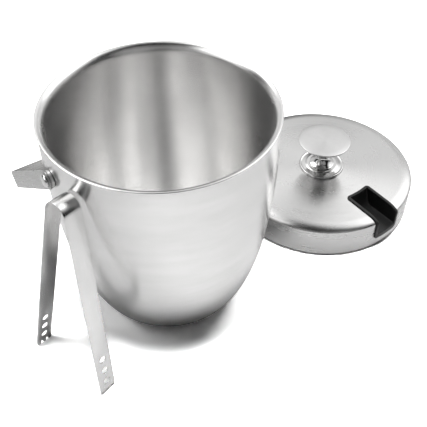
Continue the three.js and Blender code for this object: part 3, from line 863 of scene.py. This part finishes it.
def lid_pocket():
    """The pocket from its strips and their mirror images, closed at its floor and its underside."""
    half = [pocket_column(*station) for station in lip_stations()]
    mirrored = [[Vector((p.x, -p.y, p.z)) for p in column] for column in half[-2:0:-1]]
    columns = half + mirrored
    rows = len(half[0])
    turn = SLOT_TURN.to_3x3()
    centre = Vector((*LID_CENTRE, 0))
    points = [turn @ point + centre for column in columns for point in column]
    faces = []
    for index in range(len(columns)):
        here, after = index * rows, (index + 1) % len(columns) * rows
        for row in range(rows - 1):
            faces.append((here + row, after + row, after + row + 1, here + row + 1))
    faces.append([index * rows for index in range(len(columns))][::-1])
    faces.append([index * rows + rows - 1 for index in range(len(columns))])
    lay = [(points[corner].x * MM, points[corner].y * MM) for face in faces for corner in face]
    obj = make_piece("lid_pocket", points, faces, lay, BLACK_PLASTIC)
    shape = bmesh.new()
    shape.from_mesh(obj.data)
    bmesh.ops.remove_doubles(shape, verts=shape.verts, dist=0.000001)
    bmesh.ops.recalc_face_normals(shape, faces=shape.faces)
    shape.to_mesh(obj.data)
    shape.free()
    obj.data.set_sharp_from_angle(angle=SHARP_ANGLE)
    stand_for(obj, "lid", "tong_slot_insert")


lid_pocket()


# ---- Straps: a flat outline with rounded edges, bent to its path -------------------------------
def inward(points, distance):
    """Each point of an anticlockwise outline, moved inwards by distance."""
    moved = []
    count = len(points)
    for index, point in enumerate(points):
        before = (point - points[index - 1]).normalized()
        after = (points[(index + 1) % count] - point).normalized()
        side = Vector((-before.y, before.x)) + Vector((-after.y, after.x))
        side.normalize()
        lean = max(0.55, side.dot(Vector((-before.y, before.x))))
        moved.append(point + side * (distance / lean))
    return moved


def inside(point, outline):
    """Whether a point is inside an outline."""
    found = False
    for a, b in zip(outline, outline[1:] + outline[:1]):
        if (a.y > point.y) != (b.y > point.y):
            if point.x < a.x + (b.x - a.x) * (point.y - a.y) / (b.y - a.y):
                found = not found
    return found


def strap(name, outline, holes, extra, thickness, edge, place, material, flip=False, flush=None):
    """A strip cut to outline with holes, with rounded edges, bent by place(along, across, out).

    The extra points go into its faces, flip turns the faces over, and the end at along == flush, where
    it meets another strip, keeps its length."""
    loops = [outline, *holes]
    shrunk = [inward(loop, edge) for loop in loops]
    if flush is not None:
        for full, inner in zip(loops[0], shrunk[0]):
            if abs(full.x - flush) < 1e-6:
                inner.x = full.x
                inner.y = full.y - math.copysign(edge, full.y)
    flat, constraints = [], []
    for loop in shrunk:
        first = len(flat)
        flat.extend(loop)
        constraints.extend((first + i, first + (i + 1) % len(loop)) for i in range(len(loop)))
    border = len(flat)
    flat.extend(extra)
    result = delaunay_2d_cdt(flat, constraints, [], 0, 1e-5)
    placed, triangles = result[0], result[2]
    kept = []
    for triangle in triangles:
        middle = sum((placed[i] for i in triangle), Vector((0, 0))) / 3
        if inside(middle, shrunk[0]) and not any(inside(middle, hole) for hole in shrunk[1:]):
            kept.append(tuple(triangle))
    origin = {}
    for index, sources in enumerate(result[3]):
        for source in sources:
            origin[source] = index
    half = thickness / 2
    top = [(p.x, p.y, half) for p in placed]
    bottom = [(p.x, p.y, -half) for p in placed]
    points = top + bottom
    shift = len(placed)
    faces = kept + [tuple(shift + i for i in reversed(t)) for t in kept]
    ring_steps = 4
    start = 0
    for full, inner in zip(loops, shrunk):
        rings = [[origin[start + i] for i in range(len(full))]]
        for step in range(1, ring_steps):
            angle = math.pi / 2 * step / (ring_steps - 1)
            rings.append(list(range(len(points), len(points) + len(full))))
            points.extend((*inner[i].lerp(full[i], math.sin(angle)), half - edge * (1 - math.cos(angle)))
                          for i in range(len(full)))
        for step in range(ring_steps - 1):
            angle = math.pi / 2 * (1 - step / (ring_steps - 1))
            rings.append(list(range(len(points), len(points) + len(full))))
            points.extend((*inner[i].lerp(full[i], math.sin(angle)), -half + edge * (1 - math.cos(angle)))
                          for i in range(len(full)))
        rings.append([shift + origin[start + i] for i in range(len(full))])
        for upper, lower in zip(rings, rings[1:]):
            for i in range(len(full)):
                j = (i + 1) % len(full)
                faces.append((upper[i], lower[i], lower[j], upper[j]))
        start += len(full)
    if flip:
        faces = [tuple(reversed(face)) for face in faces]
    lay = [(points[i][0] * MM, points[i][1] * MM) for face in faces for i in face]
    return make_piece(name, [place(*point) for point in points], faces, lay, material)


def round_hole(along, radius, steps):
    """A hole's outline. It runs clockwise, so that inwards is away from the hole."""
    angles = [2 * math.pi * step / steps for step in range(steps)]
    return [Vector((along + radius * math.cos(angle), -radius * math.sin(angle))) for angle in angles]


# ---- Bail ------------------------------------------------------------------------------------
BAIL_PLACE = (
    Matrix.Translation((0, 0, PIVOT_HEIGHT))
    @ Matrix.Rotation(PIVOT_AZIMUTH, 4, "Z")
    @ Matrix.Rotation(-BAIL_DROP, 4, "X")
)
FOLD_MIDDLE = FOLD_RADIUS - STRAP_THICKNESS / 2
ARM_MIDDLE = ARM_INNER + STRAP_THICKNESS / 2
ARM_RUN = BAIL_REACH + STRAP_THICKNESS / 2 - FOLD_MIDDLE
FOLD_RUN = FOLD_MIDDLE * math.pi / 2
BAR_HALF = ARM_MIDDLE - FOLD_MIDDLE


def bail_point(along, across, out):
    """along is measured from the middle of the crossbar; the right arm's end is at positive along."""
    side = math.copysign(1, along)
    run = abs(along)
    if run <= BAR_HALF:
        local = Vector((side * run, ARM_RUN + FOLD_MIDDLE + out, across))
    elif run <= BAR_HALF + FOLD_RUN:
        angle = (run - BAR_HALF) / FOLD_MIDDLE
        reach = FOLD_MIDDLE + out
        x = BAR_HALF + reach * math.sin(angle)
        local = Vector((side * x, ARM_RUN + reach * math.cos(angle), across))
    else:
        local = Vector((side * (ARM_MIDDLE + out), ARM_RUN - (run - BAR_HALF - FOLD_RUN), across))
    return BAIL_PLACE @ local


PIVOT_RUN = BAR_HALF + FOLD_RUN + ARM_RUN


def bail_outline():
    half = STRAP_WIDTH / 2
    stations = [0.0, BAR_HALF * 0.5, BAR_HALF - 2, BAR_HALF]
    stations += [BAR_HALF + FOLD_RUN * step / 8 for step in range(1, 9)]
    stations += [BAR_HALF + FOLD_RUN + 2, BAR_HALF + FOLD_RUN + ARM_RUN * 0.5, PIVOT_RUN - 6]
    low = [Vector((run, -half)) for run in sorted({-s for s in stations} | set(stations))]
    right = [Vector((PIVOT_RUN + half * math.sin(a), -half * math.cos(a)))
             for a in [math.pi * step / 20 for step in range(21)]]
    high = [Vector((point.x, half)) for point in reversed(low)]
    left = [Vector((-point.x, -point.y)) for point in right]
    return [*low, *right, *high, *left]


bail = strap(
    "bail", bail_outline(),
    [round_hole(PIVOT_RUN, HOLE_RADIUS, 32), round_hole(-PIVOT_RUN, HOLE_RADIUS, 32)],
    [], STRAP_THICKNESS, 0.4, bail_point, BAIL_STEEL_PAINTED_DARK,
)
stand_for(bail, "bail", "bail_strap")

# ---- Tongs -----------------------------------------------------------------------------------
STAND_ANGLE = TONGS_AZIMUTH + math.pi / 2
TONGS_PLACE = (
    Matrix.Translation((
        TONGS_DISTANCE * math.cos(TONGS_AZIMUTH),
        TONGS_DISTANCE * math.sin(TONGS_AZIMUTH),
        TONGS_WIDTH / 2 * math.sin(TONGS_LEAN) + TIP_RISE,
    ))
    @ Matrix.Rotation(STAND_ANGLE, 4, "Z")
    @ Matrix.Rotation(-TONGS_LEAN, 4, "X")
)
HINGE_X = BOW_RADIUS * math.cos(ARM_SPLAY)
HINGE_Z = ARM_LENGTH * math.cos(ARM_SPLAY)
BOW_CENTRE_Z = HINGE_Z - BOW_RADIUS * math.sin(ARM_SPLAY)
BOW_RUN = BOW_RADIUS * (math.pi / 2 - ARM_SPLAY)
BOW_STEPS = 28
BOW_STEP = BOW_RUN / BOW_STEPS
STRAIGHT = ARM_LENGTH - CURL_RADIUS * math.sin(CURL_ANGLE)
CURL_RUN = CURL_RADIUS * CURL_ANGLE
TONGS_RUN = BOW_RUN + STRAIGHT + CURL_RUN


def tongs_point(side):
    """The bend of one half: from the top of the bow, down one arm, to the curled tip."""
    def place(along, across, out):
        if along <= BOW_RUN:
            angle = math.pi / 2 - along / BOW_RADIUS
            reach = BOW_RADIUS + out
            if along == 0:
                reach *= math.cos(0.5 * BOW_STEP / BOW_RADIUS)
            x, z = reach * math.cos(angle), BOW_CENTRE_Z + reach * math.sin(angle)
        else:
            run = along - BOW_RUN
            bend = max(0.0, run - STRAIGHT) / CURL_RADIUS
            run = min(run, STRAIGHT)
            x = -CURL_RADIUS + (CURL_RADIUS + out) * math.cos(bend)
            z = -run - (CURL_RADIUS + out) * math.sin(bend)
            x, z = (
                HINGE_X + x * math.cos(ARM_SPLAY) - z * math.sin(ARM_SPLAY),
                HINGE_Z + x * math.sin(ARM_SPLAY) + z * math.cos(ARM_SPLAY),
            )
        return TONGS_PLACE @ Vector((side * x, across, z))
    return place


def tongs_outline():
    half = TONGS_WIDTH / 2
    stations = [0.0] + [BOW_STEP * (step + 0.5) for step in range(BOW_STEPS)] + [BOW_RUN, BOW_RUN + 1.5]
    stations += [BOW_RUN + STRAIGHT * part for part in (0.25, 0.5, 0.75, 0.97)]
    stations += [BOW_RUN + STRAIGHT, BOW_RUN + STRAIGHT + 1.2, BOW_RUN + STRAIGHT + 2.4]
    low = [Vector((run, -half)) for run in stations]
    high = [Vector((run, half)) for run in reversed(stations)]
    tip = TONGS_RUN
    pitch = TONGS_WIDTH / 3
    corner = 2.0
    edge = [Vector((tip - corner + corner * math.sin(a), -half + corner - corner * math.cos(a)))
            for a in [math.pi / 2 * step / 5 for step in range(6)]]
    for middle in (-pitch / 2, pitch / 2):
        notch = [(0.0, -1.7), (-0.5, -1.45), (-2.3, -0.6), (-2.85, -0.3), (-NOTCH_DEPTH, 0.0)]
        notch += [(depth, -across) for depth, across in reversed(notch[:-1])]
        edge += [Vector((tip + depth, middle + across)) for depth, across in notch]
    edge += [Vector((point.x, -point.y)) for point in reversed(edge[:6])]
    return [*low, *edge, *high]


def tongs_half(name, side, arm_node):
    holes = [round_hole(BOW_RUN + ARM_LENGTH - from_tip, ARM_HOLE_RADIUS, 28) for from_tip in ARM_HOLES]
    extra = [Vector((BOW_RUN + STRAIGHT + run, across * 1.35))
             for run in (0.6, 1.2, 1.8) for across in range(-5, 6)]
    half = strap(
        name, tongs_outline(), holes, extra, TONGS_THICKNESS, 0.3, tongs_point(side),
        TONGS_STEEL, flip=side > 0, flush=0.0,
    )
    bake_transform(half)
    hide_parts("tongs_bow", arm_node)
    return half


tongs_half("tongs_half_right", 1, "tongs_arm_right")
tongs_half("tongs_half_left", -1, "tongs_arm_left")

# ---- CAD pieces that stay --------------------------------------------------------------------
for node in (
    "pivot_spacer_right", "pivot_spacer_left", "pivot_backing_right", "pivot_backing_left",
    "knob_screw", "knob_screw_washer",
):
    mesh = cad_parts[node].data
    mesh.materials.clear()
    mesh.materials.append(PLAIN_STEEL)


# ---- Studio ----------------------------------------------------------------------------------
FLOOR_SHADE = 0.35  # as lit and as reflected
FLOOR_SEEN = 1.35  # as the camera sees it, so that only contact shadows are left
# Soft boxes, seen only in reflections: azimuth from the camera's side anticlockwise from above,
# elevation and half-width in degrees, level
SOFT_BOXES = {
    "left": (290, 35, 34, 2.0),
    "right": (110, 35, 34, 1.3),
    "back_left_high": (235, 52, 30, 3.3),
    "back_right_high": (125, 52, 30, 2.0),
    "back_high": (180, 46, 26, 1.1),
    "back_low_left": (215, 12, 34, 0.8),
    "back_low_right": (145, 12, 34, 0.8),
    "front_left_low": (335, 30, 30, 0.35),
    "front_right_low": (25, 30, 30, 0.35),
}
OVERHEAD_STRENGTH = 4.1
OVERHEAD_ANGLE = math.radians(10)
# Soft panels for the floor, not seen in reflections: place, aim and side in metres, watts,
# and spread in degrees
PANELS = {
    "left": ((-0.8, -0.03, 1.0), (0.03, -0.03, 0), 0.45, 5, 180),
    "back_right": ((0.62, 0.56, 1.0), (0.03, -0.03, 0), 0.45, 16, 180),
    "pool": ((0.02, -0.14, 1.2), (0.02, -0.24, 0), 0.2, 1.0, 45),
}


def studio_floor():
    """A wide matt plane, paler to the camera than in reflections."""
    mesh = bpy.data.meshes.new("floor")
    size = 4.0
    corners = [(-size, -size, 0), (size, -size, 0), (size, size, 0), (-size, size, 0)]
    mesh.from_pydata(corners, [], [(0, 1, 2, 3)])
    nodes = Nodes("floor_white")
    tree = nodes.tree
    tree.nodes.remove(nodes.shader)
    path = tree.nodes.new("ShaderNodeLightPath")
    shade = nodes.add("ShaderNodeMapRange", Value=path.outputs["Is Camera Ray"])
    shade.inputs["To Min"].default_value = FLOOR_SHADE
    shade.inputs["To Max"].default_value = FLOOR_SEEN
    matt = nodes.add("ShaderNodeBsdfDiffuse", Color=nodes.grey(shade.outputs[0]))
    tree.links.new(matt.outputs[0], tree.nodes["Material Output"].inputs[0])
    mesh.materials.append(nodes.material)
    floor = bpy.data.objects.new("floor", mesh)
    bpy.context.scene.collection.objects.link(floor)


def panel_light(name, place, aim, side, power, spread):
    data = bpy.data.lights.new(name, "AREA")
    data.shape = "SQUARE"
    data.size = side
    data.energy = power
    data.spread = math.radians(spread)
    light = bpy.data.objects.new(name, data)
    light.location = place
    light.rotation_euler = (Vector(aim) - Vector(place)).to_track_quat("-Z", "Y").to_euler()
    light.visible_glossy = False
    bpy.context.scene.collection.objects.link(light)


def studio_world():
    """Soft boxes round and above the object for reflections, and plain white for the camera."""
    world = bpy.data.worlds.new("studio")
    bpy.context.scene.world = world
    world.use_nodes = True
    world.cycles_visibility.diffuse = False
    tree = world.node_tree
    tree.nodes.clear()
    link = tree.links.new
    place = tree.nodes.new("ShaderNodeTexCoord")
    total = None
    for azimuth, elevation, width, level in SOFT_BOXES.values():
        turn, rise = math.radians(azimuth), math.radians(elevation)
        towards = tree.nodes.new("ShaderNodeVectorMath")
        towards.operation = "DOT_PRODUCT"
        link(place.outputs["Generated"], towards.inputs[0])
        towards.inputs[1].default_value = (
            math.sin(turn) * math.cos(rise), -math.cos(turn) * math.cos(rise), math.sin(rise),
        )
        glow = tree.nodes.new("ShaderNodeMapRange")
        glow.interpolation_type = "SMOOTHSTEP"
        link(towards.outputs["Value"], glow.inputs["Value"])
        glow.inputs["From Min"].default_value = math.cos(math.radians(width))
        glow.inputs["From Max"].default_value = 1.0
        glow.inputs["To Max"].default_value = level
        if total is None:
            total = glow.outputs[0]
            continue
        both = tree.nodes.new("ShaderNodeMath")
        link(total, both.inputs[0])
        link(glow.outputs[0], both.inputs[1])
        total = both.outputs[0]
    studio = tree.nodes.new("ShaderNodeBackground")
    studio.inputs[0].default_value = (1, 1, 1, 1)
    link(total, studio.inputs[1])
    backdrop = tree.nodes.new("ShaderNodeBackground")
    backdrop.inputs[0].default_value = (1, 1, 1, 1)
    path = tree.nodes.new("ShaderNodeLightPath")
    choose = tree.nodes.new("ShaderNodeMixShader")
    link(path.outputs["Is Camera Ray"], choose.inputs[0])
    link(studio.outputs[0], choose.inputs[1])
    link(backdrop.outputs[0], choose.inputs[2])
    out = tree.nodes.new("ShaderNodeOutputWorld")
    link(choose.outputs[0], out.inputs[0])


def overhead_light():
    """An even light from straight above, as wide as a large diffuser, not seen in reflections."""
    data = bpy.data.lights.new("overhead", "SUN")
    data.energy = OVERHEAD_STRENGTH
    data.angle = OVERHEAD_ANGLE
    light = bpy.data.objects.new("overhead", data)
    light.visible_glossy = False
    bpy.context.scene.collection.objects.link(light)


studio_floor()
studio_world()
overhead_light()
for name, panel in PANELS.items():
    panel_light(name, *panel)
bpy.context.scene.view_settings.view_transform = "Standard"

bpy.context.view_layer.update()
